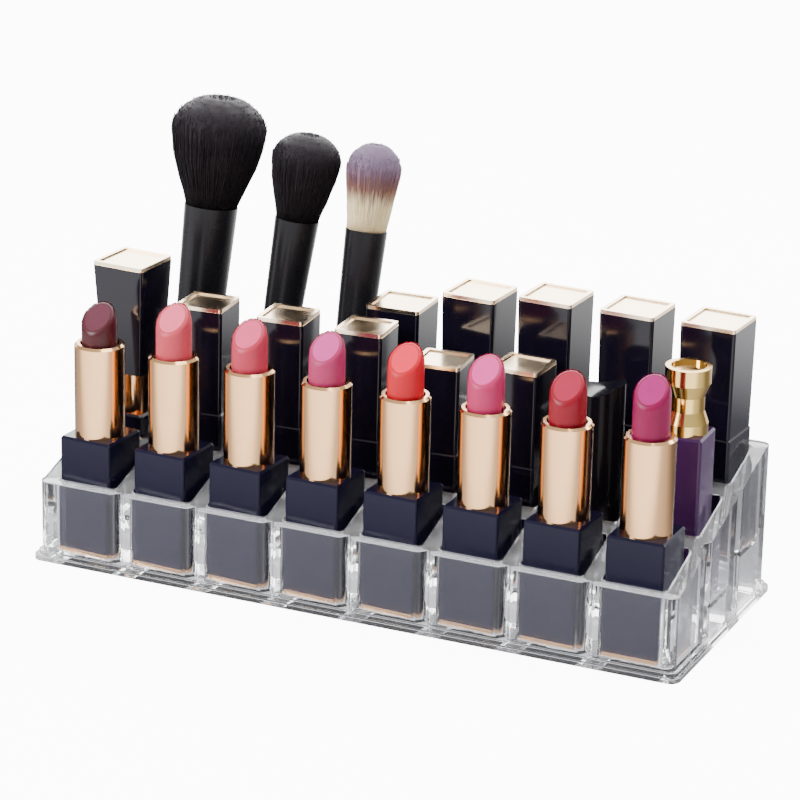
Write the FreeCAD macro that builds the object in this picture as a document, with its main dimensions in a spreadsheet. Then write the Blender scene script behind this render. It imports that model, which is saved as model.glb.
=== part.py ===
import FreeCAD
import Part
import Sketcher
import math
import os

# A clear stepped tray with three rows of eight square cells, filled with lipsticks, brushes,
# a gloss tube and a small bottle. Millimetres, +Z up, the front of the tray faces -Y and the
# origin is the middle of the face it rests on.

doc = FreeCAD.newDocument("vanity_organizer")
sheet = doc.addObject("Spreadsheet::Sheet", "Sizes")

COLUMNS = 8

sizes = {
    # tray
    "cell_spacing": 28,
    "cell_width": 22,
    "wall": 4.5,
    "end_wall": 5,
    "body_corner": 3,
    "front_height": 28,
    "back_height": 52,
    "front_floor": 3,
    "middle_floor": 13,
    "back_floor": 21,
    "floor_thickness": 2.2,
    "hollow_width": 18,
    "hollow_end": 6,
    "flange_width": 2,
    "flange_height": 3.1,
    "flange_edge": 1.7,
    "flange_inset": 1,
    "flange_corner": 3.5,
    "groove_width": 4.4,
    "groove_depth": 3,
    # open lipstick
    "base_width": 19.6,
    "base_height": 40,
    "base_corner": 1,
    "base_bevel": 0.7,
    "foot_height": 1.3,
    "bore_depth": 20,
    "tube_width": 17,
    "tube_out": 32,
    "tube_bore": 13.2,
    "tube_bevel": 0.8,
    "tube_floor": 1.5,
    "tube_clearance": 0.3,
    "running_gap": 0.05,
    "bullet_width": 12,
    "bullet_straight": 12.5,
    "bullet_dome": 9,
    "bullet_root": 7,
    "carrier_floor": 1,
    "carrier_drop": 0.6,
    "facet_low": 10.5,
    "facet_rise": 10.8,
    "full_rise": 20,
    "front_shift": 0.5,
    # how far each open lipstick is wound up, left to right
    "rise_1": 14,
    "rise_2": 17.8,
    "rise_3": 16.6,
    "rise_4": 16.6,
    "rise_5": 17.2,
    "rise_6": 17.6,
    "rise_7": 16.8,
    "rise_8": 20,
    # capped lipsticks
    "slim_width": 16.8,
    "slim_cap_foot": 16.2,
    "slim_cap_top": 16.8,
    "slim_base": 36,
    "wide_width": 19,
    "wide_cap_foot": 18.4,
    "wide_cap_top": 19.2,
    "wide_base": 38.7,
    "tall_width": 16,
    "tall_cap_foot": 15.4,
    "tall_cap_top": 19.5,
    "tall_base": 31,
    "collar_height": 14,
    "inner_tube": 12,
    "inner_bore": 10,
    "inner_out": 22,
    "inner_depth": 16,
    "inner_bullet": 24,
    "inner_floor": 1.5,
    "inner_gap": 0.1,
    "collar_inset": 0.5,
    "cap_gap": 0.5,
    "cap_room": 1,
    "plate_height": 1.3,
    "plate_inset": 0.1,
    "plate_rim": 1.4,
    "plate_dish": 0.5,
    # cap lengths of the capped lipsticks
    "slim_cap_long": 37,
    "slim_cap_short": 30,
    "slim_cap_mid": 32.5,
    "wide_cap_long": 37.6,
    "wide_cap_mid": 35,
    "wide_cap_short": 26.8,
    "tall_cap_long": 39,
    # brushes
    "handle_width": 9,
    "handle_length": 43.2,
    "hair_inset": 0.5,
    "brush_stand": 0.1,
    "brush_1_right": 2.4,
    "brush_1_ferrule": 43,
    "brush_1_neck": 16.2,
    "brush_1_mouth": 18.6,
    "brush_1_hair": 39,
    "brush_1_head": 33.6,
    "brush_2_right": 3.3,
    "brush_2_ferrule": 42.8,
    "brush_2_neck": 12.4,
    "brush_2_mouth": 15.2,
    "brush_2_hair": 30.4,
    "brush_2_head": 24.4,
    "brush_3_right": 5.2,
    "brush_3_ferrule": 41.6,
    "brush_3_neck": 12.2,
    "brush_3_mouth": 14.4,
    "brush_3_hair": 30.4,
    "brush_3_head": 19.2,
    # gloss tube
    "gloss_width": 16,
    "gloss_length": 38,
    "gloss_neck": 9,
    "gloss_neck_out": 10,
    "gloss_cap": 29,
    "gloss_scoop": 12,
    "gloss_scoop_depth": 3,
    "gloss_scoop_offset": 2,
    # bottle
    "bottle_width": 15.5,
    "bottle_height": 55,
    "bottle_neck": 8,
    "bottle_neck_out": 12,
    "bottle_cap_ring": 14.4,
    "bottle_cap_ring_height": 3.5,
    "bottle_cap_waist_low": 7.5,
    "bottle_cap_waist_high": 12.3,
    "bottle_cap_top_low": 16.7,
    "bottle_cap_waist": 11.6,
    "bottle_cap_top": 15,
    "bottle_cap_height": 22,
    "bottle_cap_rim": 1.8,
    "bottle_cap_dish": 1.2,
    # spare length of cuts that run out into the open
    "past": 5,
}

for row, name in enumerate(sizes, start=1):
    sheet.set("A%d" % row, name)
    sheet.set("B%d" % row, str(sizes[name]))
    sheet.setAlias("B%d" % row, name)
doc.recompute()


def size(expression):
    """The present value of an expression of sizes."""
    return float(sheet.evalExpression(expression))


def bind(item, **expressions):
    for name, expression in expressions.items():
        item.setExpression(name, expression)


def bind_place(item, across="0", along="0", up="0"):
    item.setExpression("Placement.Base.x", across)
    item.setExpression("Placement.Base.y", along)
    item.setExpression("Placement.Base.z", up)


def new_body(name):
    return doc.addObject("PartDesign::Body", name)


def block(body, name, width, height, up="0", cut=False):
    """A square block standing on the upright axis."""
    kind = "PartDesign::SubtractiveBox" if cut else "PartDesign::AdditiveBox"
    item = body.newObject(kind, name)
    bind(item, Length=width, Width=width, Height=height)
    bind_place(item, "-(%s) / 2" % width, "-(%s) / 2" % width, up)
    return item


def drum(body, name, width, height, up="0", cut=False):
    """A round drum standing on the upright axis."""
    kind = "PartDesign::SubtractiveCylinder" if cut else "PartDesign::AdditiveCylinder"
    item = body.newObject(kind, name)
    bind(item, Radius="(%s) / 2" % width, Height=height)
    bind_place(item, up=up)
    return item


def cone(body, name, low_width, high_width, height, up="0"):
    item = body.newObject("PartDesign::AdditiveCone", name)
    bind(item, Radius1="(%s) / 2" % low_width, Radius2="(%s) / 2" % high_width, Height=height)
    bind_place(item, up=up)
    return item


def sketch_on(body, name, role, across="0", along="0", up="0"):
    plane = [item for item in body.Origin.OriginFeatures if item.Role == role][0]
    sketch = body.newObject("Sketcher::SketchObject", name)
    sketch.AttachmentSupport = [(plane, "")]
    sketch.MapMode = "FlatFace"
    sketch.setExpression("AttachmentOffset.Base.x", across)
    sketch.setExpression("AttachmentOffset.Base.y", along)
    sketch.setExpression("AttachmentOffset.Base.z", up)
    return sketch


def rounded_rectangle(sketch, width, depth, corner):
    """A rectangle with round corners, centred on the origin of its sketch."""
    half_width = size(width) / 2
    half_depth = size(depth) / 2
    radius = size(corner)
    near = half_depth - radius
    side = half_width - radius
    normal = FreeCAD.Vector(0, 0, 1)
    corners = [(side, -near, 1.5), (side, near, 0), (-side, near, 0.5), (-side, -near, 1)]
    ends = [
        [(-side, -half_depth), (side, -half_depth)],
        [(half_width, -near), (half_width, near)],
        [(side, half_depth), (-side, half_depth)],
        [(-half_width, near), (-half_width, -near)],
    ]
    for start, stop in ends:
        sketch.addGeometry(Part.LineSegment(FreeCAD.Vector(*start, 0), FreeCAD.Vector(*stop, 0)))
    for across, along, turn in corners:
        circle = Part.Circle(FreeCAD.Vector(across, along, 0), normal, radius)
        sketch.addGeometry(Part.ArcOfCircle(circle, turn * math.pi, (turn + 0.5) * math.pi))
    for line in range(4):
        sketch.addConstraint(Sketcher.Constraint("Tangent", line, 2, line + 4, 1))
        sketch.addConstraint(Sketcher.Constraint("Tangent", line + 4, 2, (line + 1) % 4, 1))
        direction = "Vertical" if line % 2 else "Horizontal"
        sketch.addConstraint(Sketcher.Constraint(direction, line))
    for arc in (5, 6, 7):
        sketch.addConstraint(Sketcher.Constraint("Equal", 4, arc))
    sketch.addConstraint(Sketcher.Constraint("Symmetric", 5, 3, 7, 3, -1, 1))
    measures = [
        (Sketcher.Constraint("Radius", 4, radius), corner),
        (Sketcher.Constraint("DistanceX", 3, 1, 1, 1, 2 * half_width), width),
        (Sketcher.Constraint("DistanceY", 0, 1, 2, 1, 2 * half_depth), depth),
    ]
    for constraint, expression in measures:
        index = sketch.addConstraint(constraint)
        sketch.setExpression("Constraints[%d]" % index, expression)


def outline(sketch, points):
    """A closed outline of straight edges, each corner placed by two expressions."""
    first = len(sketch.Geometry)
    count = len(points)
    places = [FreeCAD.Vector(size(across), size(along), 0) for across, along in points]
    for index in range(count):
        sketch.addGeometry(Part.LineSegment(places[index], places[(index + 1) % count]))
    for index in range(count):
        following = first + (index + 1) % count
        sketch.addConstraint(Sketcher.Constraint("Coincident", first + index, 2, following, 1))
    for index in range(count):
        for kind, expression in zip(("DistanceX", "DistanceY"), points[index]):
            value = size(expression)
            number = sketch.addConstraint(Sketcher.Constraint(kind, -1, 1, first + index, 1, value))
            sketch.setExpression("Constraints[%d]" % number, expression)


def rectangle(sketch, width, depth):
    """A plain rectangle, centred on the origin of its sketch."""
    side = "(%s) / 2" % width
    near = "(%s) / 2" % depth
    outline(sketch, [("-" + side, "-" + near), (side, "-" + near), (side, near), ("-" + side, near)])


def pad(body, name, sketch, height):
    item = body.newObject("PartDesign::Pad", name)
    item.Profile = sketch
    item.setExpression("Length", height)
    return item


def pocket_up(body, name, sketch, height):
    """A pocket that runs up from its sketch."""
    item = body.newObject("PartDesign::Pocket", name)
    item.Profile = sketch
    item.Reversed = True
    item.setExpression("Length", height)
    return item


def repeat(body, name, feature, axis, length, count):
    item = body.newObject("PartDesign::LinearPattern", name)
    item.Originals = [feature]
    item.Direction = (feature.Profile[0], [axis])
    item.Occurrences = count
    item.setExpression("Length", length)
    body.Tip = item
    return item


def edge_names(feature, wanted):
    return ["Edge%d" % (i + 1) for i, edge in enumerate(feature.Shape.Edges) if wanted(edge)]


def upright(edge):
    low, high = edge.BoundBox.ZMin, edge.BoundBox.ZMax
    flat = max(edge.BoundBox.XLength, edge.BoundBox.YLength)
    return high - low > 0.5 and flat < 0.01


def at_height(height):
    def wanted(edge):
        return abs(edge.BoundBox.ZMin - height) < 0.001 and abs(edge.BoundBox.ZMax - height) < 0.001

    return wanted


def round_edges(body, name, base, wanted, radius):
    doc.recompute()
    item = body.newObject("PartDesign::Fillet", name)
    item.Base = (base, edge_names(base, wanted))
    item.setExpression("Radius", radius)
    return item


def bevel_edges(body, name, base, wanted, amount):
    doc.recompute()
    item = body.newObject("PartDesign::Chamfer", name)
    item.Base = (base, edge_names(base, wanted))
    item.setExpression("Size", amount)
    return item


nodes = []


def node(label, members, across="0", along="0", up="0", turn=0, lean_right=0, lean_back=0):
    """One named part of the set, put in its place. Leans are run over rise."""
    item = doc.addObject("Part::Compound", "Node_" + label)
    item.Label = label
    item.Links = members
    upward = FreeCAD.Vector(lean_right, lean_back, 1)
    tilt = FreeCAD.Rotation(FreeCAD.Vector(0, 0, 1), upward)
    spin = FreeCAD.Rotation(FreeCAD.Vector(0, 0, 1), turn)
    item.Placement = FreeCAD.Placement(FreeCAD.Vector(0, 0, 0), tilt.multiply(spin))
    bind_place(item, across, along, up)
    nodes.append(item)
    return item


# tray

BODY_WIDTH = "(Sizes.cell_spacing * %d + Sizes.cell_width + 2 * Sizes.end_wall)" % (COLUMNS - 1)
BODY_DEPTH = "(Sizes.cell_spacing * 2 + Sizes.cell_width + 2 * Sizes.wall)"
FIRST_COLUMN = "-Sizes.cell_spacing * %.1f" % ((COLUMNS - 1) / 2)
ROWS = [("front", "-Sizes.cell_spacing"), ("middle", "0"), ("back", "Sizes.cell_spacing")]


def build_tray():
    body = new_body("Tray")
    flange = "2 * Sizes.flange_width"
    step = "2 * (Sizes.flange_width - Sizes.flange_inset)"
    layers = [
        ("Flange", flange, "Sizes.flange_corner", "Sizes.flange_edge"),
        ("Step", step, "Sizes.flange_corner", "Sizes.flange_height"),
        ("Block", "0", "Sizes.body_corner", "Sizes.back_height"),
    ]
    for name, extra, corner, height in layers:
        sketch = sketch_on(body, name + "Outline", "XY_Plane")
        rounded_rectangle(sketch, BODY_WIDTH + " + " + extra, BODY_DEPTH + " + " + extra, corner)
        pad(body, name, sketch, height)

    # the rim rises in a straight slope from the front wall to the back wall
    slope = sketch_on(body, "SlopeOutline", "YZ_Plane")
    front = "-" + BODY_DEPTH + " / 2"
    back = BODY_DEPTH + " / 2"
    outline(slope, [
        (front + " - Sizes.past", "Sizes.front_height"),
        (front + " + Sizes.wall", "Sizes.front_height"),
        (back + " - Sizes.wall", "Sizes.back_height"),
        (back + " - Sizes.wall", "Sizes.back_height + Sizes.past"),
        (front + " - Sizes.past", "Sizes.back_height + Sizes.past"),
    ])
    cut = body.newObject("PartDesign::Pocket", "Slope")
    cut.Profile = slope
    cut.SideType = "Symmetric"
    cut.setExpression("Length", BODY_WIDTH + " + 2 * Sizes.past")

    # rows of cells
    span = "Sizes.cell_spacing * %d" % (COLUMNS - 1)
    for name, along in ROWS:
        floor = "Sizes.%s_floor" % name
        sketch = sketch_on(body, name + "CellOutline", "XY_Plane", FIRST_COLUMN, along, floor)
        rectangle(sketch, "Sizes.cell_width", "Sizes.cell_width")
        cell = pocket_up(body, name + "Cell", sketch, "Sizes.back_height")
        repeat(body, name + "Cells", cell, "H_Axis", span, COLUMNS)

    # the raised rows are hollow underneath
    for name, along in ROWS[1:]:
        sketch = sketch_on(body, name + "HollowOutline", "XY_Plane", "0", along)
        rectangle(sketch, BODY_WIDTH + " - 2 * Sizes.hollow_end", "Sizes.hollow_width")
        pocket_up(body, name + "Hollow", sketch, "Sizes.%s_floor - Sizes.floor_thickness" % name)

    # upright grooves between the cells, on all four sides
    wide = "Sizes.groove_width / 2"
    first_gap = "-Sizes.cell_spacing * %d" % (COLUMNS // 2 - 1)
    sketch = sketch_on(body, "LongGrooveOutline", "XY_Plane", first_gap, "0", "Sizes.flange_height")
    for face, sign in ((front, 1), (back, -1)):
        outline(sketch, [
            ("-" + wide, "%s - %d * Sizes.past" % (face, sign)),
            (wide, "%s - %d * Sizes.past" % (face, sign)),
            (wide, face),
            ("0", "%s + %d * Sizes.groove_depth" % (face, sign)),
            ("-" + wide, face),
        ])
    groove = pocket_up(body, "LongGroove", sketch, "Sizes.back_height")
    repeat(body, "LongGrooves", groove, "H_Axis", "Sizes.cell_spacing * %d" % (COLUMNS - 2), COLUMNS - 1)
    left = "-" + BODY_WIDTH + " / 2"
    right = BODY_WIDTH + " / 2"
    first_gap = "-Sizes.cell_spacing / 2"
    sketch = sketch_on(body, "SideGrooveOutline", "XY_Plane", "0", first_gap, "Sizes.flange_height")
    for face, sign in ((left, 1), (right, -1)):
        outline(sketch, [
            ("%s - %d * Sizes.past" % (face, sign), "-" + wide),
            (face, "-" + wide),
            ("%s + %d * Sizes.groove_depth" % (face, sign), "0"),
            (face, wide),
            ("%s - %d * Sizes.past" % (face, sign), wide),
        ])
    groove = pocket_up(body, "SideGroove", sketch, "Sizes.back_height")
    repeat(body, "SideGrooves", groove, "V_Axis", "Sizes.cell_spacing", 2)
    return body


node("tray", [build_tray()])


def cell_place(column, row, shift=(0, 0)):
    """Middle of a cell floor, moved by how far the item stands from the middle."""
    name, along = ROWS[row]
    across = "Sizes.cell_spacing * %.1f + %s" % (column - (COLUMNS + 1) / 2, shift[0])
    return across, "%s + %s" % (along, shift[1]), "Sizes.%s_floor" % name


# lipsticks


def build_foot(name, width):
    """The thin metal foot under a lipstick base."""
    body = new_body(name + "Foot")
    plate = block(body, name + "FootPlate", width, "Sizes.foot_height")
    round_edges(body, name + "FootCorners", plate, upright, "Sizes.base_corner")
    return body


def build_base(name, width, height, bore, depth):
    """A square base with a round well for the tube."""
    body = new_body(name + "Base")
    stock = block(body, name + "BaseBlock", width, "(%s) - Sizes.foot_height" % height, "Sizes.foot_height")
    corners = round_edges(body, name + "BaseCorners", stock, upright, "Sizes.base_corner")
    bevel_edges(body, name + "BaseBevel", corners, at_height(size(height)), "Sizes.base_bevel")
    drum(body, name + "BaseWell", bore, depth, "(%s) - (%s)" % (height, depth), cut=True)
    return body


TUBE_TOP = "(Sizes.base_height + Sizes.tube_out)"
TUBE_FOOT = "(Sizes.base_height - Sizes.bore_depth + Sizes.tube_clearance)"


def build_tube():
    body = new_body("OpenTube")
    length = TUBE_TOP + " - " + TUBE_FOOT
    shell = drum(body, "OpenTubeShell", "Sizes.tube_width", length, TUBE_FOOT)
    bevel_edges(body, "OpenTubeBevel", shell, at_height(size(TUBE_TOP)), "Sizes.tube_bevel")
    drum(body, "OpenTubeBore", "Sizes.tube_bore", length, TUBE_FOOT + " + Sizes.tube_floor", cut=True)
    return body


ROOT = "(%s - Sizes.bullet_root)" % TUBE_TOP
BULLET_FOOT = "(%s + Sizes.carrier_floor)" % ROOT


def build_carrier():
    """The cup that holds the foot of the bullet and slides in the tube."""
    body = new_body("Carrier")
    width = "Sizes.tube_bore - 2 * Sizes.running_gap"
    drum(body, "CarrierCup", width, "Sizes.bullet_root - Sizes.carrier_drop", ROOT)
    drum(body, "CarrierWell", "Sizes.bullet_width", "Sizes.bullet_root", BULLET_FOOT, cut=True)
    return body


def build_bullet():
    """A round stick with a domed end, cut aslant on its front."""
    body = new_body("Bullet")
    straight = "Sizes.bullet_root - Sizes.carrier_floor + Sizes.bullet_straight"
    drum(body, "BulletStick", "Sizes.bullet_width", straight, BULLET_FOOT)
    dome = body.newObject("PartDesign::AdditiveEllipsoid", "BulletDome")
    bind(dome, Radius1="Sizes.bullet_dome", Radius2="Sizes.bullet_width / 2")
    bind(dome, Radius3="Sizes.bullet_width / 2")
    bind_place(dome, up=TUBE_TOP + " + Sizes.bullet_straight")
    sketch = sketch_on(body, "FacetOutline", "YZ_Plane")
    edge = "(Sizes.bullet_width / 2 + Sizes.past)"
    run = "Sizes.past * Sizes.facet_rise / Sizes.bullet_width"
    low = TUBE_TOP + " + Sizes.facet_low"
    high = "%s + Sizes.facet_rise + %s" % (low, run)
    outline(sketch, [
        ("-" + edge, "%s - %s" % (low, run)),
        (edge, high),
        (edge, high + " + Sizes.past"),
        ("-" + edge, high + " + Sizes.past"),
    ])
    cut = body.newObject("PartDesign::Pocket", "Facet")
    cut.Profile = sketch
    cut.SideType = "Symmetric"
    cut.setExpression("Length", "Sizes.bullet_width * 2")
    return body


WELL = "Sizes.tube_width + 2 * Sizes.running_gap"
open_base = build_base("Open", "Sizes.base_width", "Sizes.base_height", WELL, "Sizes.bore_depth")
open_foot = build_foot("Open", "Sizes.base_width")
open_tube = build_tube()
carrier = build_carrier()
bullet = build_bullet()

# how far each open lipstick is turned in its cell, in degrees, left to right
FRONT_TURNS = [-4, -4, -4, -3, -3, -2, -2, 0]

for column, turn in enumerate(FRONT_TURNS, start=1):
    across, along, floor = cell_place(column, 0, ("-Sizes.front_shift", "-Sizes.front_shift"))
    wound = floor + " - Sizes.full_rise + Sizes.rise_%d" % column
    name = "front_%d_" % column
    node(name + "base", [open_base, open_foot], across, along, floor, turn)
    node(name + "tube", [open_tube], across, along, floor, turn)
    node(name + "bullet", [carrier, bullet], across, along, wound, turn)


def build_inner(name, height):
    """The tube and the wound-down bullet that a cap hides."""
    tube = new_body(name + "InnerTube")
    start = "(%s) - Sizes.inner_depth" % height
    length = "Sizes.inner_depth + Sizes.inner_out"
    drum(tube, name + "InnerShell", "Sizes.inner_tube", length, start)
    floor = start + " + Sizes.inner_floor"
    drum(tube, name + "InnerBore", "Sizes.inner_bore", length, floor, cut=True)
    stick = new_body(name + "InnerBullet")
    width = "Sizes.inner_bore - 2 * Sizes.inner_gap"
    drum(stick, name + "InnerStick", width, "Sizes.inner_bullet", floor)
    return [tube, stick]


def build_capped_base(kind, collar=None):
    width = "Sizes.%s_width" % kind
    height = "Sizes.%s_base" % kind
    base = build_base(kind, width, height, "Sizes.inner_tube", "Sizes.inner_depth")
    members = [base, build_foot(kind, width)] + build_inner(kind, height)
    if collar:
        ring = new_body(kind + "Collar")
        drum(ring, kind + "CollarDrum", width + " - 2 * Sizes.collar_inset", collar, height)
        drum(ring, kind + "CollarWell", "Sizes.inner_tube", collar, height, cut=True)
        members.append(ring)
    return members


def build_cap(name, kind, height, up):
    """A hollow square cap that widens towards a dished metal top plate."""
    foot = "Sizes.%s_cap_foot" % kind
    top = "Sizes.%s_cap_top" % kind
    peak = "%s + %s" % (up, height)
    shoulder = peak + " - Sizes.plate_height"
    shell = new_body(name + "Cap")
    low = sketch_on(shell, name + "CapFootOutline", "XY_Plane", up=up)
    rounded_rectangle(low, foot, foot, "Sizes.base_corner")
    high = sketch_on(shell, name + "CapTopOutline", "XY_Plane", up=shoulder)
    rounded_rectangle(high, top, top, "Sizes.base_corner")
    loft = shell.newObject("PartDesign::AdditiveLoft", name + "CapShell")
    loft.Profile = low
    loft.Sections = [high]
    hollow = "Sizes.inner_tube + 2 * Sizes.cap_gap"
    drum(shell, name + "CapHollow", hollow, "Sizes.inner_out + Sizes.cap_room", up, cut=True)
    plate = new_body(name + "Plate")
    width = "(%s - 2 * Sizes.plate_inset)" % top
    stock = block(plate, name + "PlateStock", width, "Sizes.plate_height", shoulder)
    round_edges(plate, name + "PlateCorners", stock, upright, "Sizes.base_corner")
    dish = width + " - 2 * Sizes.plate_rim"
    block(plate, name + "PlateDish", dish, "Sizes.plate_height", peak + " - Sizes.plate_dish", cut=True)
    return [shell, plate]


slim = build_capped_base("slim")
wide = build_capped_base("wide")
tall = build_capped_base("tall", "Sizes.collar_height")
caps = {}
for kind, length in (
    ("slim", "long"), ("slim", "short"), ("slim", "mid"),
    ("wide", "long"), ("wide", "mid"), ("wide", "short"), ("tall", "long"),
):
    stand = "Sizes.%s_base" % kind
    if kind == "tall":
        stand = "(Sizes.tall_base + Sizes.collar_height)"
    caps[kind, length] = build_cap(kind + length, kind, "Sizes.%s_cap_%s" % (kind, length), stand)

# row, column, base, cap, distance from the middle of the cell, turn in degrees
CAPPED = [
    ("mid", 1, tall, caps["tall", "long"], (-2.2, -2.2), -4),
    ("mid", 2, slim, caps["slim", "long"], (-1.9, -1.6), 4),
    ("mid", 3, slim, caps["slim", "long"], (0, -1), 4),
    ("mid", 4, slim, caps["slim", "long"], (0.5, -0.6), 4),
    ("mid", 5, slim, caps["slim", "short"], (0.4, -1), 5),
    ("mid", 6, slim, caps["slim", "mid"], (0.4, 0), -2),
    ("back", 4, wide, caps["wide", "short"], (0.7, -0.4), 2),
    ("back", 5, wide, caps["wide", "mid"], (0.9, -0.4), -3),
    ("back", 6, wide, caps["wide", "long"], (0.2, -0.4), -3),
    ("back", 7, wide, caps["wide", "long"], (0.9, -0.4), -3),
    ("back", 8, wide, caps["wide", "long"], (0.9, -0.4), -3),
]

for row, column, base, cap, shift, turn in CAPPED:
    across, along, floor = cell_place(column, {"mid": 1, "back": 2}[row], shift)
    node("%s_%d_base" % (row, column), base, across, along, floor, turn)
    node("%s_%d_cap" % (row, column), cap, across, along, floor, turn)


# brushes


# where the side of the hair bends and where the head is widest, as shares of length and width
HAIR_BEND = (0.4, 0.87)
HAIR_SHOULDER = 0.7


def build_brush(number, lean_right, lean_back):
    """A round handle, a flared ferrule and a domed head of hair."""
    name = "Brush%d" % number
    own = "Sizes.brush_%d_" % number
    handle = new_body(name + "Handle")
    end_radius = "Sizes.handle_width / 2"
    straight = "Sizes.handle_length - " + end_radius
    drum(handle, name + "HandleBar", "Sizes.handle_width", straight, end_radius)
    end = handle.newObject("PartDesign::AdditiveSphere", name + "HandleEnd")
    bind(end, Radius=end_radius)
    bind_place(end, up=end_radius)
    ferrule = new_body(name + "Ferrule")
    cone(ferrule, name + "FerruleShell", own + "neck", own + "mouth", own + "ferrule", "Sizes.handle_length")
    hair = new_body(name + "Hair")
    root = own + "mouth - 2 * Sizes.hair_inset"
    root_up = "Sizes.handle_length + %sferrule" % own
    bend_width = "%shead * %s" % (own, HAIR_BEND[1])
    bend_rise = "%shair * %s" % (own, HAIR_BEND[0])
    shoulder_rise = "%shair * %s" % (own, HAIR_SHOULDER)
    bend_up = "%s + %s" % (root_up, bend_rise)
    cone(hair, name + "HairFlare", root, bend_width, bend_rise, root_up)
    cone(hair, name + "HairSide", bend_width, own + "head", "%s - %s" % (shoulder_rise, bend_rise), bend_up)
    dome = hair.newObject("PartDesign::AdditiveEllipsoid", name + "HairDome")
    bind(dome, Radius1="%shair - %s" % (own, shoulder_rise))
    bind(dome, Radius2=own + "head / 2", Radius3=own + "head / 2")
    bind_place(dome, up="%s + %s" % (root_up, shoulder_rise))
    across, along, floor = cell_place(number, 2, (own + "right", "0"))
    place = (across, along, floor + " + Sizes.brush_stand", 0, lean_right, lean_back)
    node("brush_%d_handle" % number, [handle], *place)
    node("brush_%d_ferrule" % number, [ferrule], *place)
    node("brush_%d_hair" % number, [hair], *place)


build_brush(1, 0.05, 0.12)
build_brush(2, 0.095, 0.13)
build_brush(3, 0.035, 0.17)


# gloss tube


def build_gloss():
    tube = new_body("GlossTube")
    drum(tube, "GlossBarrel", "Sizes.gloss_width", "Sizes.gloss_length")
    drum(tube, "GlossNeck", "Sizes.gloss_neck", "Sizes.gloss_length + Sizes.gloss_neck_out")
    cap = new_body("GlossCap")
    drum(cap, "GlossCapBarrel", "Sizes.gloss_width", "Sizes.gloss_cap", "Sizes.gloss_length")
    hollow = "Sizes.gloss_neck + 2 * Sizes.cap_gap"
    room = "Sizes.gloss_neck_out + Sizes.cap_room"
    drum(cap, "GlossCapHollow", hollow, room, "Sizes.gloss_length", cut=True)
    scoop = cap.newObject("PartDesign::SubtractiveCylinder", "GlossScoop")
    sideways = FreeCAD.Rotation(FreeCAD.Vector(1, 0, 0), 90)
    scoop.Placement = FreeCAD.Placement(FreeCAD.Vector(0, 0, 0), sideways)
    bind(scoop, Radius="Sizes.gloss_scoop", Height="Sizes.gloss_width * 2")
    scoop_up = "Sizes.gloss_length + Sizes.gloss_cap + Sizes.gloss_scoop - Sizes.gloss_scoop_depth"
    bind_place(scoop, "-Sizes.gloss_scoop_offset", "Sizes.gloss_width", scoop_up)
    return tube, cap


gloss_tube, gloss_cap = build_gloss()
across, along, floor = cell_place(7, 1, (0.2, -1))
node("gloss_tube", [gloss_tube], across, along, floor, 10)
node("gloss_cap", [gloss_cap], across, along, floor, 10)


# bottle


def build_bottle():
    glass = new_body("Bottle")
    stock = block(glass, "BottleBlock", "Sizes.bottle_width", "Sizes.bottle_height")
    corners = round_edges(glass, "BottleCorners", stock, upright, "Sizes.base_corner")
    bevel_edges(glass, "BottleShoulder", corners, at_height(size("Sizes.bottle_height")), "Sizes.base_bevel")
    drum(glass, "BottleNeck", "Sizes.bottle_neck", "Sizes.bottle_height + Sizes.bottle_neck_out")
    cap = new_body("BottleCap")
    bore = "(Sizes.bottle_neck / 2 + Sizes.cap_gap)"
    ring = "Sizes.bottle_cap_ring / 2"
    waist = "Sizes.bottle_cap_waist / 2"
    top = "Sizes.bottle_cap_top / 2"
    foot = "Sizes.bottle_height"
    room = foot + " + Sizes.bottle_neck_out + Sizes.cap_room"
    peak = foot + " + Sizes.bottle_cap_height"
    dish = peak + " - Sizes.bottle_cap_dish"
    turned = sketch_on(cap, "BottleCapOutline", "XZ_Plane")
    outline(turned, [
        (bore, foot),
        (ring, foot),
        (ring, foot + " + Sizes.bottle_cap_ring_height"),
        (waist, foot + " + Sizes.bottle_cap_waist_low"),
        (waist, foot + " + Sizes.bottle_cap_waist_high"),
        (top, foot + " + Sizes.bottle_cap_top_low"),
        (top, peak),
        (top + " - Sizes.bottle_cap_rim", peak),
        (top + " - Sizes.bottle_cap_rim", dish),
        ("0", dish),
        ("0", room),
        (bore, room),
    ])
    spin = cap.newObject("PartDesign::Revolution", "BottleCapTurned")
    spin.Profile = turned
    spin.ReferenceAxis = (turned, ["V_Axis"])
    spin.Angle = 360
    return glass, cap


bottle, bottle_cap = build_bottle()
across, along, floor = cell_place(8, 1, (1.4, -1))
node("bottle", [bottle], across, along, floor, 2)
node("bottle_cap", [bottle_cap], across, along, floor, 2)

doc.recompute()

for item in doc.Objects:
    if "Invalid" in item.State or "Error" in item.State:
        raise RuntimeError("feature failed: " + item.Name)
os.makedirs("parts", exist_ok=True)
for item in nodes:
    shape = item.Shape
    if shape.isNull() or not shape.isValid() or not shape.Solids:
        raise RuntimeError("bad shape: " + item.Label)
    shape.exportStep("parts/%s.step" % item.Label)
    print(item.Label, len(shape.Solids), "solids, volume %.1f" % shape.Volume)
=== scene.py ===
import math
import random

import bmesh
import bpy
from mathutils import Matrix, Vector


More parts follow.
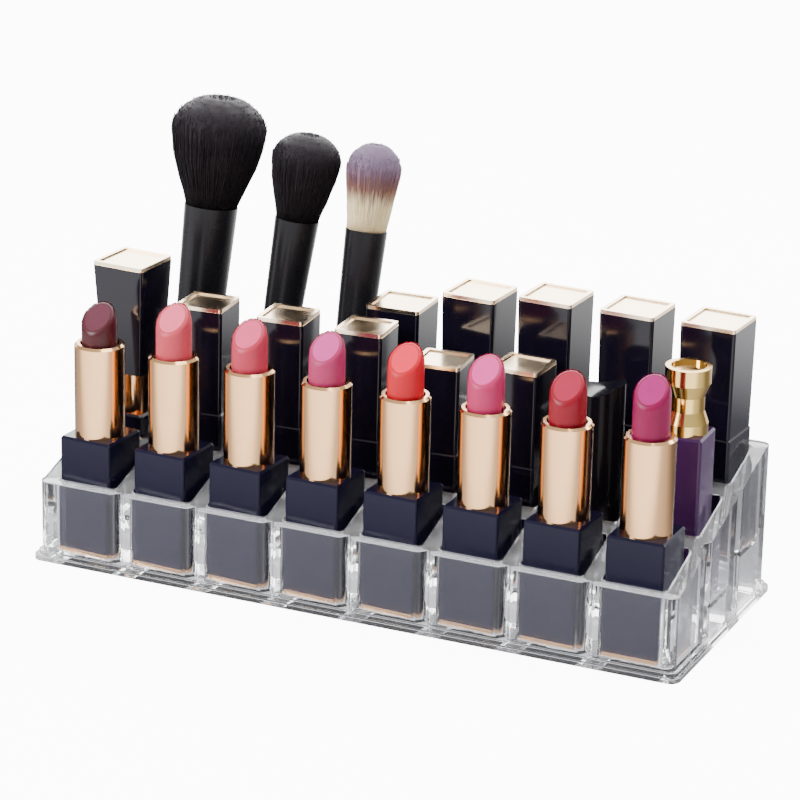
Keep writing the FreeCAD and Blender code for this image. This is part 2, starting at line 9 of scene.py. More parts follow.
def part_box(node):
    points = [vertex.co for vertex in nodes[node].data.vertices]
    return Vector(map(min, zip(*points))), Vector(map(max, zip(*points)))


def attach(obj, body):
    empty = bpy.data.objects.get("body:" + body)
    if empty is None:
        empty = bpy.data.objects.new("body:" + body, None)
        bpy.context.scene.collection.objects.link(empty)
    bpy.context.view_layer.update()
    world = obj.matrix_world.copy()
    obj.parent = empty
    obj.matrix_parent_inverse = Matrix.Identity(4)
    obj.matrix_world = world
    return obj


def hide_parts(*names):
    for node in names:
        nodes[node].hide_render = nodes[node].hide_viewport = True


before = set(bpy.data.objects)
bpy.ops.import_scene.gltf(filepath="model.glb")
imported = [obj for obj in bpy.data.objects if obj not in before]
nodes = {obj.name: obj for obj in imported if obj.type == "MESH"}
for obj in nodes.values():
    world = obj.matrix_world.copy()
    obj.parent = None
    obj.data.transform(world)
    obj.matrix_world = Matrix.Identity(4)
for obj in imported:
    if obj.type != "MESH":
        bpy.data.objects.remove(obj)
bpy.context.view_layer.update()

MM = 0.001
MERGE = 0.002 * MM

OPEN_COLUMNS = range(1, 9)
BRUSHES = (1, 2, 3)
CAPPED = [("mid", column) for column in range(1, 7)] + [("back", column) for column in range(4, 9)]


# shader groups


def new_group(name, inputs, outputs):
    """An empty shader group with named sockets."""
    group = bpy.data.node_groups.new(name, "ShaderNodeTree")
    for label, kind, value in inputs:
        socket = group.interface.new_socket(name=label, in_out="INPUT", socket_type=kind)
        socket.default_value = value
    for label, kind in outputs:
        group.interface.new_socket(name=label, in_out="OUTPUT", socket_type=kind)
    return group, group.nodes.new("NodeGroupInput"), group.nodes.new("NodeGroupOutput")


def build_polish():
    """Uneven polish: a roughness that wanders between two values, and a height to go with it."""
    group, given, result = new_group(
        "uneven_polish",
        [
            ("Scale", "NodeSocketFloat", 60.0),
            ("Low", "NodeSocketFloat", 0.2),
            ("High", "NodeSocketFloat", 0.3),
        ],
        [("Roughness", "NodeSocketFloat"), ("Height", "NodeSocketFloat")],
    )
    place = group.nodes.new("ShaderNodeTexCoord")
    noise = group.nodes.new("ShaderNodeTexNoise")
    noise.inputs["Detail"].default_value = 4.0
    spread = group.nodes.new("ShaderNodeMapRange")
    spread.inputs["From Min"].default_value = 0.3
    spread.inputs["From Max"].default_value = 0.7
    link = group.links.new
    link(place.outputs["Object"], noise.inputs["Vector"])
    link(given.outputs["Scale"], noise.inputs["Scale"])
    link(noise.outputs["Fac"], spread.inputs["Value"])
    link(given.outputs["Low"], spread.inputs["To Min"])
    link(given.outputs["High"], spread.inputs["To Max"])
    link(spread.outputs["Result"], result.inputs["Roughness"])
    link(noise.outputs["Fac"], result.inputs["Height"])
    return group


def build_drift():
    """Two shades of one colour that drift into each other over the surface."""
    group, given, result = new_group(
        "colour_drift",
        [
            ("Scale", "NodeSocketFloat", 40.0),
            ("First", "NodeSocketColor", (1, 1, 1, 1)),
            ("Second", "NodeSocketColor", (0, 0, 0, 1)),
        ],
        [("Color", "NodeSocketColor")],
    )
    place = group.nodes.new("ShaderNodeTexCoord")
    noise = group.nodes.new("ShaderNodeTexNoise")
    noise.inputs["Detail"].default_value = 3.0
    mix = group.nodes.new("ShaderNodeMix")
    mix.data_type = "RGBA"
    link = group.links.new
    link(place.outputs["Object"], noise.inputs["Vector"])
    link(given.outputs["Scale"], noise.inputs["Scale"])
    link(noise.outputs["Fac"], mix.inputs["Factor"])
    link(given.outputs["First"], mix.inputs["A"])
    link(given.outputs["Second"], mix.inputs["B"])
    link(mix.outputs["Result"], result.inputs["Color"])
    return group


uneven_polish = build_polish()
colour_drift = build_drift()


# materials


def new_material(name):
    material = bpy.data.materials.new(name)
    material.use_nodes = True
    shader = material.node_tree.nodes["Principled BSDF"]
    return material, material.node_tree, shader


def add_polish(tree, shader, scale, low, high, bump=0.0, depth=0.0002):
    """Links the uneven polish to a shader's roughness, and to its normal where a bump is given."""
    grain = tree.nodes.new("ShaderNodeGroup")
    grain.node_tree = uneven_polish
    grain.inputs["Scale"].default_value = scale
    grain.inputs["Low"].default_value = low
    grain.inputs["High"].default_value = high
    tree.links.new(grain.outputs["Roughness"], shader.inputs["Roughness"])
    if bump:
        relief = tree.nodes.new("ShaderNodeBump")
        relief.inputs["Strength"].default_value = bump
        relief.inputs["Distance"].default_value = depth
        tree.links.new(grain.outputs["Height"], relief.inputs["Height"])
        tree.links.new(relief.outputs["Normal"], shader.inputs["Normal"])


def new_drift(tree, scale, first, second):
    drift = tree.nodes.new("ShaderNodeGroup")
    drift.node_tree = colour_drift
    drift.inputs["Scale"].default_value = scale
    drift.inputs["First"].default_value = (*first, 1)
    drift.inputs["Second"].default_value = (*second, 1)
    return drift


def add_drift(tree, shader, scale, first, second):
    """Links two drifting shades to a shader's colour."""
    drift = new_drift(tree, scale, first, second)
    tree.links.new(drift.outputs["Color"], shader.inputs["Base Color"])


def map_range(tree, from_low, from_high, to_low, to_high):
    item = tree.nodes.new("ShaderNodeMapRange")
    item.inputs["From Min"].default_value = from_low
    item.inputs["From Max"].default_value = from_high
    item.inputs["To Min"].default_value = to_low
    item.inputs["To Max"].default_value = to_high
    return item


# share of the light that goes straight through the clear plastic
STRAIGHT_SHARE = 0.05


def make_clear_plastic(name, clearness, low, high):
    """Clear moulded plastic, slightly wavy, that lets lamps through to what it holds."""
    material, tree, shader = new_material(name)
    add_drift(tree, shader, 25.0, (0.995, 0.997, 1.0), (0.975, 0.98, 0.99))
    shader.inputs["Transmission Weight"].default_value = clearness
    shader.inputs["IOR"].default_value = 1.5
    add_polish(tree, shader, 45.0, low, high, bump=0.5, depth=0.0004)
    path = tree.nodes.new("ShaderNodeLightPath")
    through = tree.nodes.new("ShaderNodeBsdfTransparent")
    through.inputs["Color"].default_value = (0.93, 0.94, 0.95, 1)
    mix = tree.nodes.new("ShaderNodeMixShader")
    surface = tree.nodes["Material Output"].inputs["Surface"]
    straight = map_range(tree, 0.0, 1.0, STRAIGHT_SHARE, 1.0)
    tree.links.new(path.outputs["Is Shadow Ray"], straight.inputs["Value"])
    tree.links.new(straight.outputs["Result"], mix.inputs["Fac"])
    tree.links.new(shader.outputs["BSDF"], mix.inputs[1])
    tree.links.new(through.outputs["BSDF"], mix.inputs[2])
    tree.links.new(mix.outputs["Shader"], surface)
    return material


def make_lacquer(name, first, second, low, high, shine=0.16):
    material, tree, shader = new_material(name)
    add_drift(tree, shader, 60.0, first, second)
    add_polish(tree, shader, 90.0, low, high, bump=0.012, depth=0.0001)
    shader.inputs["Specular IOR Level"].default_value = shine
    return material


def make_metal(name, face, edge, low, high):
    """Polished metal with painted shade: its colour deepens where it turns away from the view."""
    material, tree, shader = new_material(name)
    drift = new_drift(tree, 120.0, face, [value * 0.93 for value in face])
    # painted shade: the edge colour is mixed in where the surface turns away from the view
    painted_shade_mask = tree.nodes.new("ShaderNodeLayerWeight")
    painted_shade_mask.inputs["Blend"].default_value = 0.5
    mix = tree.nodes.new("ShaderNodeMix")
    mix.data_type = "RGBA"
    mix.inputs["B"].default_value = (*edge, 1)
    link = tree.links.new
    link(painted_shade_mask.outputs["Facing"], mix.inputs["Factor"])
    link(drift.outputs["Color"], mix.inputs["A"])
    link(mix.outputs["Result"], shader.inputs["Base Color"])
    add_polish(tree, shader, 150.0, low, high)
    shader.inputs["Metallic"].default_value = 1.0
    return material


def make_wax(name, colour, low, high):
    """Satin lipstick with faint drag marks."""
    material, tree, shader = new_material(name)
    lighter = tuple(min(1.0, value * 1.12) for value in colour)
    add_drift(tree, shader, 220.0, colour, lighter)
    add_polish(tree, shader, 260.0, low, high, bump=0.12, depth=0.0002)
    shader.inputs["Specular IOR Level"].default_value = 0.25
    shader.inputs["Subsurface Weight"].default_value = 0.06
    shader.inputs["Subsurface Radius"].default_value = (0.0016, 0.0008, 0.0006)
    shader.inputs["Subsurface Scale"].default_value = 1.0
    return material


def set_ramp(ramp, stops):
    """Fills a colour ramp from its stops, each a share and a colour."""
    elements = ramp.color_ramp.elements
    for element, (share, colour) in zip((elements[0], elements[1]), (stops[0], stops[-1])):
        element.position = share
        element.color = (*colour, 1)
    for share, colour in stops[1:-1]:
        elements.new(share).color = (*colour, 1)


# how finely the hair's colours streak around and along it, and how far they wander along it
HAIR_STREAKS = (90.0, 4.0, 1.0)
HAIR_WANDER = 0.36


def make_hair(name, stops, sheen):
    """Hair coloured along its length: stops are shares of the length with a colour each."""
    material, tree, shader = new_material(name)
    place = tree.nodes.new("ShaderNodeUVMap")
    place.uv_map = "length"
    parts = tree.nodes.new("ShaderNodeSeparateXYZ")
    stretch = tree.nodes.new("ShaderNodeMapping")
    stretch.inputs["Scale"].default_value = HAIR_STREAKS
    noise = tree.nodes.new("ShaderNodeTexNoise")
    noise.inputs["Scale"].default_value = 1.0
    shift = tree.nodes.new("ShaderNodeMath")
    shift.operation = "MULTIPLY_ADD"
    shift.inputs[1].default_value = HAIR_WANDER
    ramp = tree.nodes.new("ShaderNodeValToRGB")
    set_ramp(ramp, stops)
    link = tree.links.new
    link(place.outputs["UV"], parts.inputs["Vector"])
    link(place.outputs["UV"], stretch.inputs["Vector"])
    link(stretch.outputs["Vector"], noise.inputs["Vector"])
    link(noise.outputs["Fac"], shift.inputs[0])
    link(parts.outputs["Y"], shift.inputs[2])
    link(shift.outputs["Value"], ramp.inputs["Fac"])
    link(ramp.outputs["Color"], shader.inputs["Base Color"])
    add_polish(tree, shader, 300.0, 0.5, 0.7)
    shader.inputs["Sheen Weight"].default_value = sheen
    shader.inputs["Specular IOR Level"].default_value = 0.12
    return material


clear_plastic = make_clear_plastic("clear_plastic", 1.0, 0.0, 0.015)
# less clear plastic for the rim's top faces, a painted highlight along the rim
rim_highlight_plastic = make_clear_plastic("rim_highlight_plastic", 0.86, 0.0, 0.05)
navy_lacquer = make_lacquer("navy_lacquer", (0.006, 0.0055, 0.018), (0.009, 0.008, 0.024), 0.1, 0.18)
cap_lacquer = make_lacquer("cap_lacquer", (0.0042, 0.0034, 0.009), (0.0065, 0.005, 0.013), 0.07, 0.13, 0.3)
black_lacquer = make_lacquer("black_lacquer", (0.004, 0.0035, 0.0055), (0.007, 0.006, 0.009), 0.1, 0.18, 0.08)
black_metal = make_lacquer("black_metal", (0.009, 0.0085, 0.01), (0.013, 0.012, 0.015), 0.22, 0.32)
purple_glass = make_lacquer("purple_glass", (0.034, 0.009, 0.05), (0.052, 0.015, 0.074), 0.08, 0.16, 0.25)
# each metal's second colour is the painted shade of its turned-away edges
gold_metal = make_metal("gold_metal", (1.0, 0.58, 0.28), (0.15, 0.055, 0.012), 0.13, 0.19)
plate_gold = make_metal("plate_gold", (1.0, 0.84, 0.62), (0.7, 0.5, 0.3), 0.16, 0.24)
yellow_gold = make_metal("yellow_gold", (0.9, 0.63, 0.2), (0.25, 0.11, 0.012), 0.1, 0.18)
dark_hair = make_hair("dark_hair", [
    (0.0, (0.009, 0.0072, 0.009)),
    (1.0, (0.015, 0.012, 0.0155)),
], 0.0)
pale_hair = make_hair("pale_hair", [
    (0.0, (0.95, 0.78, 0.44)),
    (0.48, (0.98, 0.85, 0.56)),
    (0.66, (0.3, 0.15, 0.12)),
    (0.84, (0.2, 0.12, 0.17)),
    (1.0, (0.18, 0.13, 0.2)),
], 0.1)

# wax colours from left to right
WAX = {
    1: (0.055, 0.007, 0.011),
    2: (0.5, 0.05, 0.075),
    3: (0.44, 0.032, 0.065),
    4: (0.36, 0.026, 0.1),
    5: (0.5, 0.005, 0.016),
    6: (0.43, 0.022, 0.1),
    7: (0.22, 0.003, 0.014),
    8: (0.21, 0.002, 0.05),
}


def slant_highlight_colour(colour):
    """The paler wax of the slant, a painted highlight."""
    red, green, blue = colour
    return min(red * 1.6, 1.0), green * 2.2 + red * 0.02, blue * 2.6 + red * 0.03


wax = {column: make_wax("lipstick_%d" % column, colour, 0.3, 0.45) for column, colour in WAX.items()}
# each bullet's slant gets a paler copy of its wax: a painted highlight
slant_highlight_wax = {
    column: make_wax("lipstick_%d_slant" % column, slant_highlight_colour(colour), 0.4, 0.55)
    for column, colour in WAX.items()
}


# finishes of the solid pieces


# thicknesses of the metal trims
FOOT_TRIM = 1.3 * MM
PLATE_TRIM = 1.3 * MM
COLLAR_TRIM = 14 * MM
COLLARED = ("mid", 1)


def finish_piece(name, *finishes):
    """Gives a piece its finishes in order and returns its mesh."""
    mesh = nodes[name].data
    mesh.materials.clear()
    for finish in finishes:
        mesh.materials.append(finish)
    return mesh


def paint(name, finishes, choose):
    """Gives each face of a piece the finish that choose picks for it."""
    mesh = finish_piece(name, *finishes)
    for face in mesh.polygons:
        face.material_index = choose(face)


def dress_open_lipsticks():
    for column in OPEN_COLUMNS:
        base = "front_%d_base" % column
        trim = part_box(base)[0].z + FOOT_TRIM
        paint(base, [navy_lacquer, gold_metal], lambda face: int(face.center.z < trim))
        finish_piece("front_%d_tube" % column, gold_metal)


def dress_capped_lipsticks():
    for row, column in CAPPED:
        base = "%s_%d_base" % (row, column)
        cap = "%s_%d_cap" % (row, column)
        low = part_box(base)[0].z + FOOT_TRIM
        collar = COLLAR_TRIM if (row, column) == COLLARED else 0.0
        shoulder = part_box(cap)[0].z - collar - 0.1 * MM
        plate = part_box(cap)[1].z - PLATE_TRIM
        paint(base, [cap_lacquer, gold_metal], lambda face: int(not low < face.center.z < shoulder))
        paint(cap, [cap_lacquer, plate_gold], lambda face: int(face.center.z > plate))


dress_open_lipsticks()
dress_capped_lipsticks()
finish_piece("gloss_tube", black_lacquer)
finish_piece("gloss_cap", black_lacquer)
finish_piece("bottle", purple_glass)
finish_piece("bottle_cap", yellow_gold)
for number in BRUSHES:
    finish_piece("brush_%d_handle" % number, black_lacquer)
    finish_piece("brush_%d_ferrule" % number, black_metal)


# pieces made in the scene


def smooth_form(form, sharp_angle):
    """Shades a form smooth, apart from its edges above an angle."""
    for face in form.faces:
        face.smooth = True
    for edge in form.edges:
        edge.smooth = edge.calc_face_angle(0.0) < math.radians(sharp_angle)


def add_piece(mesh, *finishes):
    """A new piece with its finishes, in the scene."""
    for finish in finishes:
        mesh.materials.append(finish)
    item = bpy.data.objects.new(mesh.name, mesh)
    bpy.context.scene.collection.objects.link(item)
    return item


def even_faces(item):
    item.modifiers.new("even_faces", "WEIGHTED_NORMAL").keep_sharp = True


# wax


# the way that the slant of a bullet faces, and the width of its soft edge
SLANT = Vector((0, -0.669, 0.743))
SLANT_EDGE = 1.3 * MM


def add_wax(column):
    """A bullet whose slant meets its sides in a soft edge."""
    node = "front_%d_bullet" % column
    form = bmesh.new()
    form.from_mesh(nodes[node].data)
    bmesh.ops.remove_doubles(form, verts=form.verts, dist=MERGE)
    form.normal_update()
    cut = [face for face in form.faces if face.normal.dot(SLANT) > 0.99]
    slant = bmesh.ops.dissolve_faces(form, faces=cut)["region"]
    # the slant takes the paler wax, its painted highlight
    for face in slant:
        face.material_index = 1
    edges = [edge for face in slant for edge in face.edges]
    soft = bmesh.ops.bevel(form, geom=edges, offset=SLANT_EDGE, segments=5, profile=0.5, affect="EDGES")
    for face in soft["faces"]:
        face.material_index = 0
    smooth_form(form, 40)
    mesh = bpy.data.meshes.new("front_%d_wax" % column)
    form.to_mesh(mesh)
    form.free()
    item = add_piece(mesh, wax[column], slant_highlight_wax[column])
    even_faces(item)
    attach(item, node)
    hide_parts(node)


for column in OPEN_COLUMNS:
    add_wax(column)


# tray


RIM_FRONT = 28 * MM
RIM_RISE = 24 * MM
CELLS_HALF = (109 * MM, 39 * MM)
FLANGE_EDGE = 1.7 * MM
FLANGE_TOP = 3.1 * MM

# rounding of the tray's edges
CELL_CORNER = 1.5 * MM
GROOVE_EDGE = 0.8 * MM
RIM_EDGE = 0.45 * MM
FLANGE_SOFT = 0.3 * MM


def rim_height(along):
    """Height of the tray's rim, which climbs from the front wall to the back wall."""
    share = (along + CELLS_HALF[1]) / (2 * CELLS_HALF[1])
    return RIM_FRONT + RIM_RISE * min(max(share, 0.0), 1.0)


def upright_edges(form, in_cells, sharpness):
    """The tall upright edges of the cells, or else those of the grooves around them."""
    found = []
    for edge in form.edges:
        low, high = sorted((vertex.co for vertex in edge.verts), key=lambda place: place.z)
        upright = (high.xy - low.xy).length < 0.01 * MM and high.z - low.z > 10 * MM
        inside = all(abs(low[way]) < CELLS_HALF[way] + 0.1 * MM for way in (0, 1))
        raised = low.z > 2.5 * MM
        if upright and raised and inside == in_cells and abs(edge.calc_face_angle_signed(0.0)) > sharpness:
            found.append(edge)
    return found


def level_faces(form, height):
    """Upward faces at one height."""
    return [
        face for face in form.faces
        if face.normal.z > 0.9 and abs(face.calc_center_median().z - height) < 0.05 * MM
    ]


def close_loops(form, edges):
    """Fills the loops of a set of open edges and returns the new faces."""
    filled = bmesh.ops.triangle_fill(form, use_beauty=True, use_dissolve=False, edges=edges, normal=(0, 0, 1))
    return [item for item in filled["geom"] if isinstance(item, bmesh.types.BMFace)]


def round_uprights(form, cell_radius, groove_radius):
    """Rounds the upright edges, with the rim and the flange's top opened for it and closed again."""
    rim = [
        face for face in form.faces
        if face.normal.z > 0.8 and face.calc_center_median().z > 0.9 * RIM_FRONT
    ]
    bmesh.ops.delete(form, geom=rim + level_faces(form, FLANGE_TOP), context="FACES")
    for in_cells, sharpness, radius in ((True, 1.0, cell_radius), (False, 0.6, groove_radius)):
        edges = upright_edges(form, in_cells, sharpness)
        bmesh.ops.bevel(
            form, geom=edges, offset=radius, offset_type="OFFSET", segments=4, profile=0.5, affect="EDGES",
        )
    edges = [edge for edge in form.edges if len(edge.link_faces) == 1]
    high = [edge for edge in edges if edge.verts[0].co.z > RIM_FRONT / 2]
    low = [edge for edge in edges if edge.verts[0].co.z < RIM_FRONT / 2]
    for edge in high:
        for vertex in edge.verts:
            vertex.co.z = rim_height(vertex.co.y)
    rim = close_loops(form, high)
    flange = close_loops(form, low)
    bmesh.ops.recalc_face_normals(form, faces=form.faces)
    return rim, flange


def soften(form, faces, drop):
    """Bevels the outer edges of a set of upward faces."""
    inside = set(faces)
    edges = {edge for face in faces for edge in face.edges}
    border = [edge for edge in edges if any(face not in inside for face in edge.link_faces)]
    outer = {vertex for edge in border if edge.calc_face_angle_signed(0.0) > 0.5 for vertex in edge.verts}
    bmesh.ops.inset_region(form, faces=faces, thickness=drop, use_boundary=True, use_even_offset=True)
    for vertex in outer:
        vertex.co.z -= drop
    form.normal_update()


def add_tray():
    """The moulding with round corners in its cells and softened edges on its rim and flange."""
    form = bmesh.new()
    form.from_mesh(nodes["tray"].data)
    bmesh.ops.remove_doubles(form, verts=form.verts, dist=MERGE)
    bmesh.ops.dissolve_limit(form, angle_limit=math.radians(0.5), verts=form.verts, edges=form.edges)
    rim, flange = round_uprights(form, CELL_CORNER, GROOVE_EDGE)
    # the rim's top faces take the less clear plastic, a painted highlight
    for face in rim:
        face.material_index = 1
    soften(form, rim, RIM_EDGE)
    soften(form, flange, FLANGE_SOFT)
    soften(form, level_faces(form, FLANGE_EDGE), FLANGE_SOFT)
    smooth_form(form, 30)
    mesh = bpy.data.meshes.new("tray_moulding")
    form.to_mesh(mesh)
    form.free()
    item = add_piece(mesh, clear_plastic, rim_highlight_plastic)
    even_faces(item)
    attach(item, "tray")
    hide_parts("tray")


add_tray()


# brush hair


class Head:
    """The room that a brush's hair takes: its root, its axis, and its half widths by share of height."""

    LEVELS = 40
    FAN_STEPS = 8

    def __init__(self, number):
        mesh = nodes["brush_%d_hair" % number].data
        points = [vertex.co.copy() for vertex in mesh.vertices]
        flat = [face.normal * face.area for face in mesh.polygons if face.normal.z < -0.9]
        self.axis = -sum(flat, Vector()).normalized()
        heights = [point.dot(self.axis) for point in points]
        low = min(heights)
        self.height = max(heights) - low
        root = [point for point, height in zip(points, heights) if height < low + 0.05 * MM]
        self.root = sum(root, Vector()) / len(root)
        widest = max((point - self.root for point in root), key=lambda offset: offset.length)
        self.across = (widest - self.axis * widest.dot(self.axis)).normalized()
        self.along = self.axis.cross(self.across)
        shares = [(height - low) / self.height for height in heights]
        self.half_across = self.profile(points, shares, self.across)
        self.half_along = self.profile(points, shares, self.along)

    def profile(self, points, shares, way):
        """Half width along one way at each level, filled in between the levels that have points."""
        found = {}
        for point, share in zip(points, shares):
            level = round(share * self.LEVELS)
            offset = point - self.root
            found[level] = max(found.get(level, 0.0), abs(offset.dot(way)))
        known = sorted(found)
        widths = []
        for level in range(self.LEVELS + 1):
            below = max(item for item in known if item <= level)
            above = min(item for item in known if item >= level)
            part = (level - below) / (above - below) if above > below else 0.0
            widths.append(found[below] + (found[above] - found[below]) * part)
        return widths

    def width(self, widths, share):
        """A half width at any share of the height."""
        level = min(max(share, 0.0), 1.0) * self.LEVELS
        below = min(int(level), self.LEVELS - 1)
        return widths[below] + (widths[below + 1] - widths[below]) * (level - below)

    def spread(self, widths, share):
        """How far the outermost hairs have fanned out by this height."""
        steps = range(self.FAN_STEPS + 1)
        return max(self.width(widths, share * step / self.FAN_STEPS) for step in steps)

    def tip(self, fraction):
        """The height at which a hair that starts at this fraction of the radius meets the dome."""
        for level in range(self.LEVELS, 0, -1):
            share = level / self.LEVELS
            if self.width(self.half_across, share) >= fraction * self.spread(self.half_across, share):
                return share
        return 0.0

    def place(self, share, across, along):
        up = self.axis * (share * self.height)
        return self.root + up + self.across * across + self.along * along


def add_tube(points, rings, faces, shares, size):
    """Joins rings of size points each into a closed skin."""
    first = len(points)
    for share, ring in rings:
        points.extend(ring)
        shares.extend([share] * size)
    for level in range(len(rings) - 1):
        for corner in range(size):
            following = (corner + 1) % size
            start = first + level * size
            faces.append((start + corner, start + following, start + size + following, start + size + corner))
    faces.append(tuple(first + corner for corner in reversed(range(size))))
    last = first + (len(rings) - 1) * size
    faces.append(tuple(last + corner for corner in range(size)))


def hair_core(head, points, faces, shares):
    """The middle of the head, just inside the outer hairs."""
    sides = 28
    levels = 30
    inset = 0.945
    dome = 0.985
    top = 0.98
    rings = []
    for level in range(levels + 1):
        share = dome * math.sin(0.5 * math.pi * level / levels)
        across = inset * head.width(head.half_across, share)
        along = inset * head.width(head.half_along, share)
        turns = [math.tau * side / sides for side in range(sides)]
        ring = [head.place(top * share, across * math.cos(turn), along * math.sin(turn)) for turn in turns]
        rings.append((share, ring))
    add_tube(points, rings, faces, shares, sides)


def hair_strands(head, count, thick, draw, points, faces, shares):
    """Single hairs that fan out from the ferrule and end on the dome."""
    golden = math.pi * (3 - math.sqrt(5))
    steps = 6
    top = 0.99
    shortest = 0.06
    sway = 0.03
    corners = 3
    for index in range(count):
        fraction = math.sqrt((index + 0.5) / count)
        turn = golden * index
        end = head.tip(fraction) * (1 - shortest * draw.random())
        stray = sway * (draw.random() - 0.5)
        rings = []
        for step in range(steps + 1):
            share = end * step / steps
            bend = turn + stray * step
            reach = fraction * (1 - sway * draw.random())
            across = reach * head.spread(head.half_across, share) * math.cos(bend)
            along = reach * head.spread(head.half_along, share) * math.sin(bend)
            middle = head.place(top * share, across, along)
            radius = thick * (1 - 0.5 * step / steps)
            ring = []
            for corner in range(corners):
                angle = turn + math.tau * corner / corners
                offset = head.across * math.cos(angle) + head.along * math.sin(angle)
                ring.append(middle + offset * radius)
            rings.append((share, ring))
        add_tube(points, rings, faces, shares, corners)


def add_hair(number, count, thick, finish):
    """A brush head of so many hairs, mapped around and along its length."""
    head = Head(number)
    draw = random.Random(number)
    points, faces, shares = [], [], []
    hair_core(head, points, faces, shares)
    hair_strands(head, count, thick, draw, points, faces, shares)
    mesh = bpy.data.meshes.new("brush_%d_bristles" % number)
    mesh.from_pydata(points, [], faces)
    length = mesh.uv_layers.new(name="length")
    for loop in mesh.loops:
        offset = mesh.vertices[loop.vertex_index].co - head.root
        turn = math.atan2(offset.dot(head.along), offset.dot(head.across)) / math.tau
        length.data[loop.index].uv = (turn, shares[loop.vertex_index])
    for face in mesh.polygons:
        face.use_smooth = True
    item = add_piece(mesh, finish)
    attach(item, "brush_%d" % number)
    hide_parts("brush_%d_hair" % number)


add_hair(1, 4200, 0.24 * MM, dark_hair)
add_hair(2, 3200, 0.22 * MM, dark_hair)
add_hair(3, 2800, 0.2 * MM, pale_hair)


# studio


# how bright the studio's white is to the camera
WHITE = 10.0


def multiply_add(tree, factor=1.0, addend=0.0):
    item = tree.nodes.new("ShaderNodeMath")
    item.operation = "MULTIPLY_ADD"
    item.inputs[1].default_value = factor
    item.inputs[2].default_value = addend
    return item


# the floor lies this far under the tray, so that the tray's underside stays clear of it
FLOOR_DROP = 0.3 * MM
FLOOR_SIZE = 6.0

# how bright the floor looks in mirrors, from MIRROR_REACH in front of the tray to as far behind it
MIRROR_REACH = 0.5
MIRROR_STRENGTH = 3.2
FLOOR_IN_MIRRORS = [
    (0.0, (1.0, 1.0, 1.0)),
    (0.34, (1.0, 1.0, 1.0)),
    (0.4, (0.42, 0.42, 0.45)),
    (0.5, (0.35, 0.35, 0.37)),
    (0.6, (0.12, 0.12, 0.13)),
    (0.69, (0.15, 0.15, 0.16)),
    (0.79, (0.84, 0.84, 0.84)),
]


def add_floor():
    """Pale paper: white to the camera, and lit under and behind the tray for light that comes through it."""
    mesh = bpy.data.meshes.new("floor")
    half = FLOOR_SIZE / 2
    corners = [(-half, -half, 0), (half, -half, 0), (half, half, 0), (-half, half, 0)]
    mesh.from_pydata(corners, [], [(0, 1, 2, 3)])
    floor = bpy.data.objects.new("floor", mesh)
    floor.location.z = -FLOOR_DROP
    bpy.context.scene.collection.objects.link(floor)
    material, tree, shader = new_material("floor_paper")
    add_drift(tree, shader, 3.0, (0.84, 0.84, 0.845), (0.86, 0.86, 0.86))
    add_polish(tree, shader, 20.0, 0.7, 0.8)
    shader.inputs["Emission Color"].default_value = (1, 1, 1, 1)
    place = tree.nodes.new("ShaderNodeTexCoord")
    parts = tree.nodes.new("ShaderNodeSeparateXYZ")
    away = tree.nodes.new("ShaderNodeVectorMath")
    away.operation = "LENGTH"
    near = map_range(tree, 0.2, 0.6, 2.0, 0.6)
    behind = map_range(tree, -0.07, -0.04, 0.1, 1.0)
    path = tree.nodes.new("ShaderNodeLightPath")
    under = multiply_add(tree)
    through = multiply_add(tree)
    seen = multiply_add(tree, WHITE)
    depth = map_range(tree, -MIRROR_REACH, MIRROR_REACH, 0.0, 1.0)
    ramp = tree.nodes.new("ShaderNodeValToRGB")
    set_ramp(ramp, FLOOR_IN_MIRRORS)
    mirrored = tree.nodes.new("ShaderNodeEmission")
    mirrored.inputs["Strength"].default_value = MIRROR_STRENGTH
    mix = tree.nodes.new("ShaderNodeMixShader")
    link = tree.links.new
    link(place.outputs["Object"], away.inputs[0])
    link(place.outputs["Object"], parts.inputs["Vector"])
    link(away.outputs["Value"], near.inputs["Value"])
    link(parts.outputs["Y"], behind.inputs["Value"])
    link(near.outputs["Result"], under.inputs[0])
    link(behind.outputs["Result"], under.inputs[1])
    link(under.outputs["Value"], through.inputs[1])
    link(path.outputs["Is Transmission Ray"], through.inputs[0])
    link(path.outputs["Is Camera Ray"], seen.inputs[0])
    link(through.outputs["Value"], seen.inputs[2])
    link(seen.outputs["Value"], shader.inputs["Emission Strength"])
    link(parts.outputs["Y"], depth.inputs["Value"])
    link(depth.outputs["Result"], ramp.inputs["Fac"])
    link(ramp.outputs["Color"], mirrored.inputs["Color"])
    link(path.outputs["Is Glossy Ray"], mix.inputs["Fac"])
    link(shader.outputs["BSDF"], mix.inputs[1])
    link(mirrored.outputs["Emission"], mix.inputs[2])
    link(mix.outputs["Shader"], tree.nodes["Material Output"].inputs["Surface"])
    mesh.materials.append(material)


def add_lamp(name, place, size, power, target=(0, 0, 0.05)):
    """A soft rectangular lamp that faces the target."""
    lamp = bpy.data.lights.new(name, "AREA")
    lamp.shape = "RECTANGLE"
    lamp.size, lamp.size_y = size
    lamp.energy = power
    item = bpy.data.objects.new(name, lamp)
    item.location = place
    item.rotation_euler = (Vector(target) - Vector(place)).to_track_quat("-Z", "Y").to_euler()
    bpy.context.scene.collection.objects.link(item)


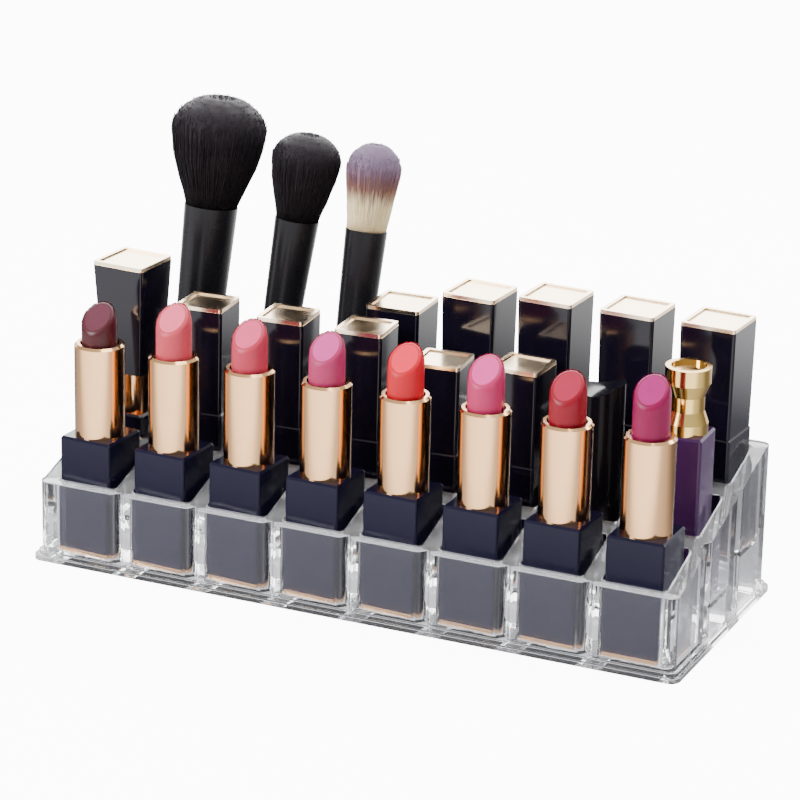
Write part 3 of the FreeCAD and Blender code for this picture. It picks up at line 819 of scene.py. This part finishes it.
def add_camera():
    """The photograph's view, in degrees and metres, with a frame as wide as it is high."""
    azimuth, elevation, roll = (math.radians(angle) for angle in (24.09, 19.21, 1.23))
    distance = 1.1623
    target = Vector((-0.00143, 0.00068, 0.06134))
    back = Vector((
        math.sin(azimuth) * math.cos(elevation),
        -math.cos(azimuth) * math.cos(elevation),
        math.sin(elevation),
    ))
    right = Vector((math.cos(azimuth), math.sin(azimuth), 0))
    up = back.cross(right)
    right, up = math.cos(roll) * right + math.sin(roll) * up, math.cos(roll) * up - math.sin(roll) * right
    turn = Matrix((right, up, back)).transposed().to_4x4()
    lens = bpy.data.cameras.new("camera")
    lens.sensor_width = 36.0
    lens.lens = 157.95
    camera = bpy.data.objects.new("camera", lens)
    camera.matrix_world = Matrix.Translation(target + back * distance) @ turn
    bpy.context.scene.collection.objects.link(camera)
    bpy.context.scene.camera = camera


# the backdrop that level plates and rims mirror
BACKDROP_WAY = (-0.34, 0.77, 0.54)
BACKDROP_STRENGTH = 10.0


def add_world():
    """White above, darker towards the horizon, with a bright backdrop in mirrors, and white to the camera."""
    world = bpy.data.worlds.new("studio")
    world.use_nodes = True
    tree = world.node_tree
    sky = tree.nodes["Background"]
    way = tree.nodes.new("ShaderNodeTexCoord")
    parts = tree.nodes.new("ShaderNodeSeparateXYZ")
    ramp = tree.nodes.new("ShaderNodeValToRGB")
    set_ramp(ramp, [(0.03, (0.35, 0.35, 0.37)), (0.28, (1, 1, 1))])
    toward = tree.nodes.new("ShaderNodeVectorMath")
    toward.operation = "DOT_PRODUCT"
    toward.inputs[1].default_value = BACKDROP_WAY
    backdrop = map_range(tree, 0.7, 0.85, 0.0, BACKDROP_STRENGTH)
    mirrored = multiply_add(tree, addend=0.9)
    plain = tree.nodes.new("ShaderNodeBackground")
    path = tree.nodes.new("ShaderNodeLightPath")
    mix = tree.nodes.new("ShaderNodeMixShader")
    plain.inputs["Color"].default_value = (1, 1, 1, 1)
    plain.inputs["Strength"].default_value = WHITE
    link = tree.links.new
    link(way.outputs["Generated"], parts.inputs["Vector"])
    link(parts.outputs["Z"], ramp.inputs["Fac"])
    link(ramp.outputs["Color"], sky.inputs["Color"])
    link(way.outputs["Generated"], toward.inputs[0])
    link(toward.outputs["Value"], backdrop.inputs["Value"])
    link(backdrop.outputs["Result"], mirrored.inputs[0])
    link(path.outputs["Is Glossy Ray"], mirrored.inputs[1])
    link(mirrored.outputs["Value"], sky.inputs["Strength"])
    link(path.outputs["Is Camera Ray"], mix.inputs["Fac"])
    link(sky.outputs["Background"], mix.inputs[1])
    link(plain.outputs["Background"], mix.inputs[2])
    link(mix.outputs["Shader"], tree.nodes["World Output"].inputs["Surface"])
    bpy.context.scene.world = world


add_floor()
add_world()
add_camera()
add_lamp("key", (-0.9, -1.1, 0.8), (0.6, 0.6), 30)
add_lamp("top", (0.1, 0.2, 1.5), (1.2, 0.9), 22)
add_lamp("back", (1.0, 0.9, 0.8), (0.5, 0.5), 10)
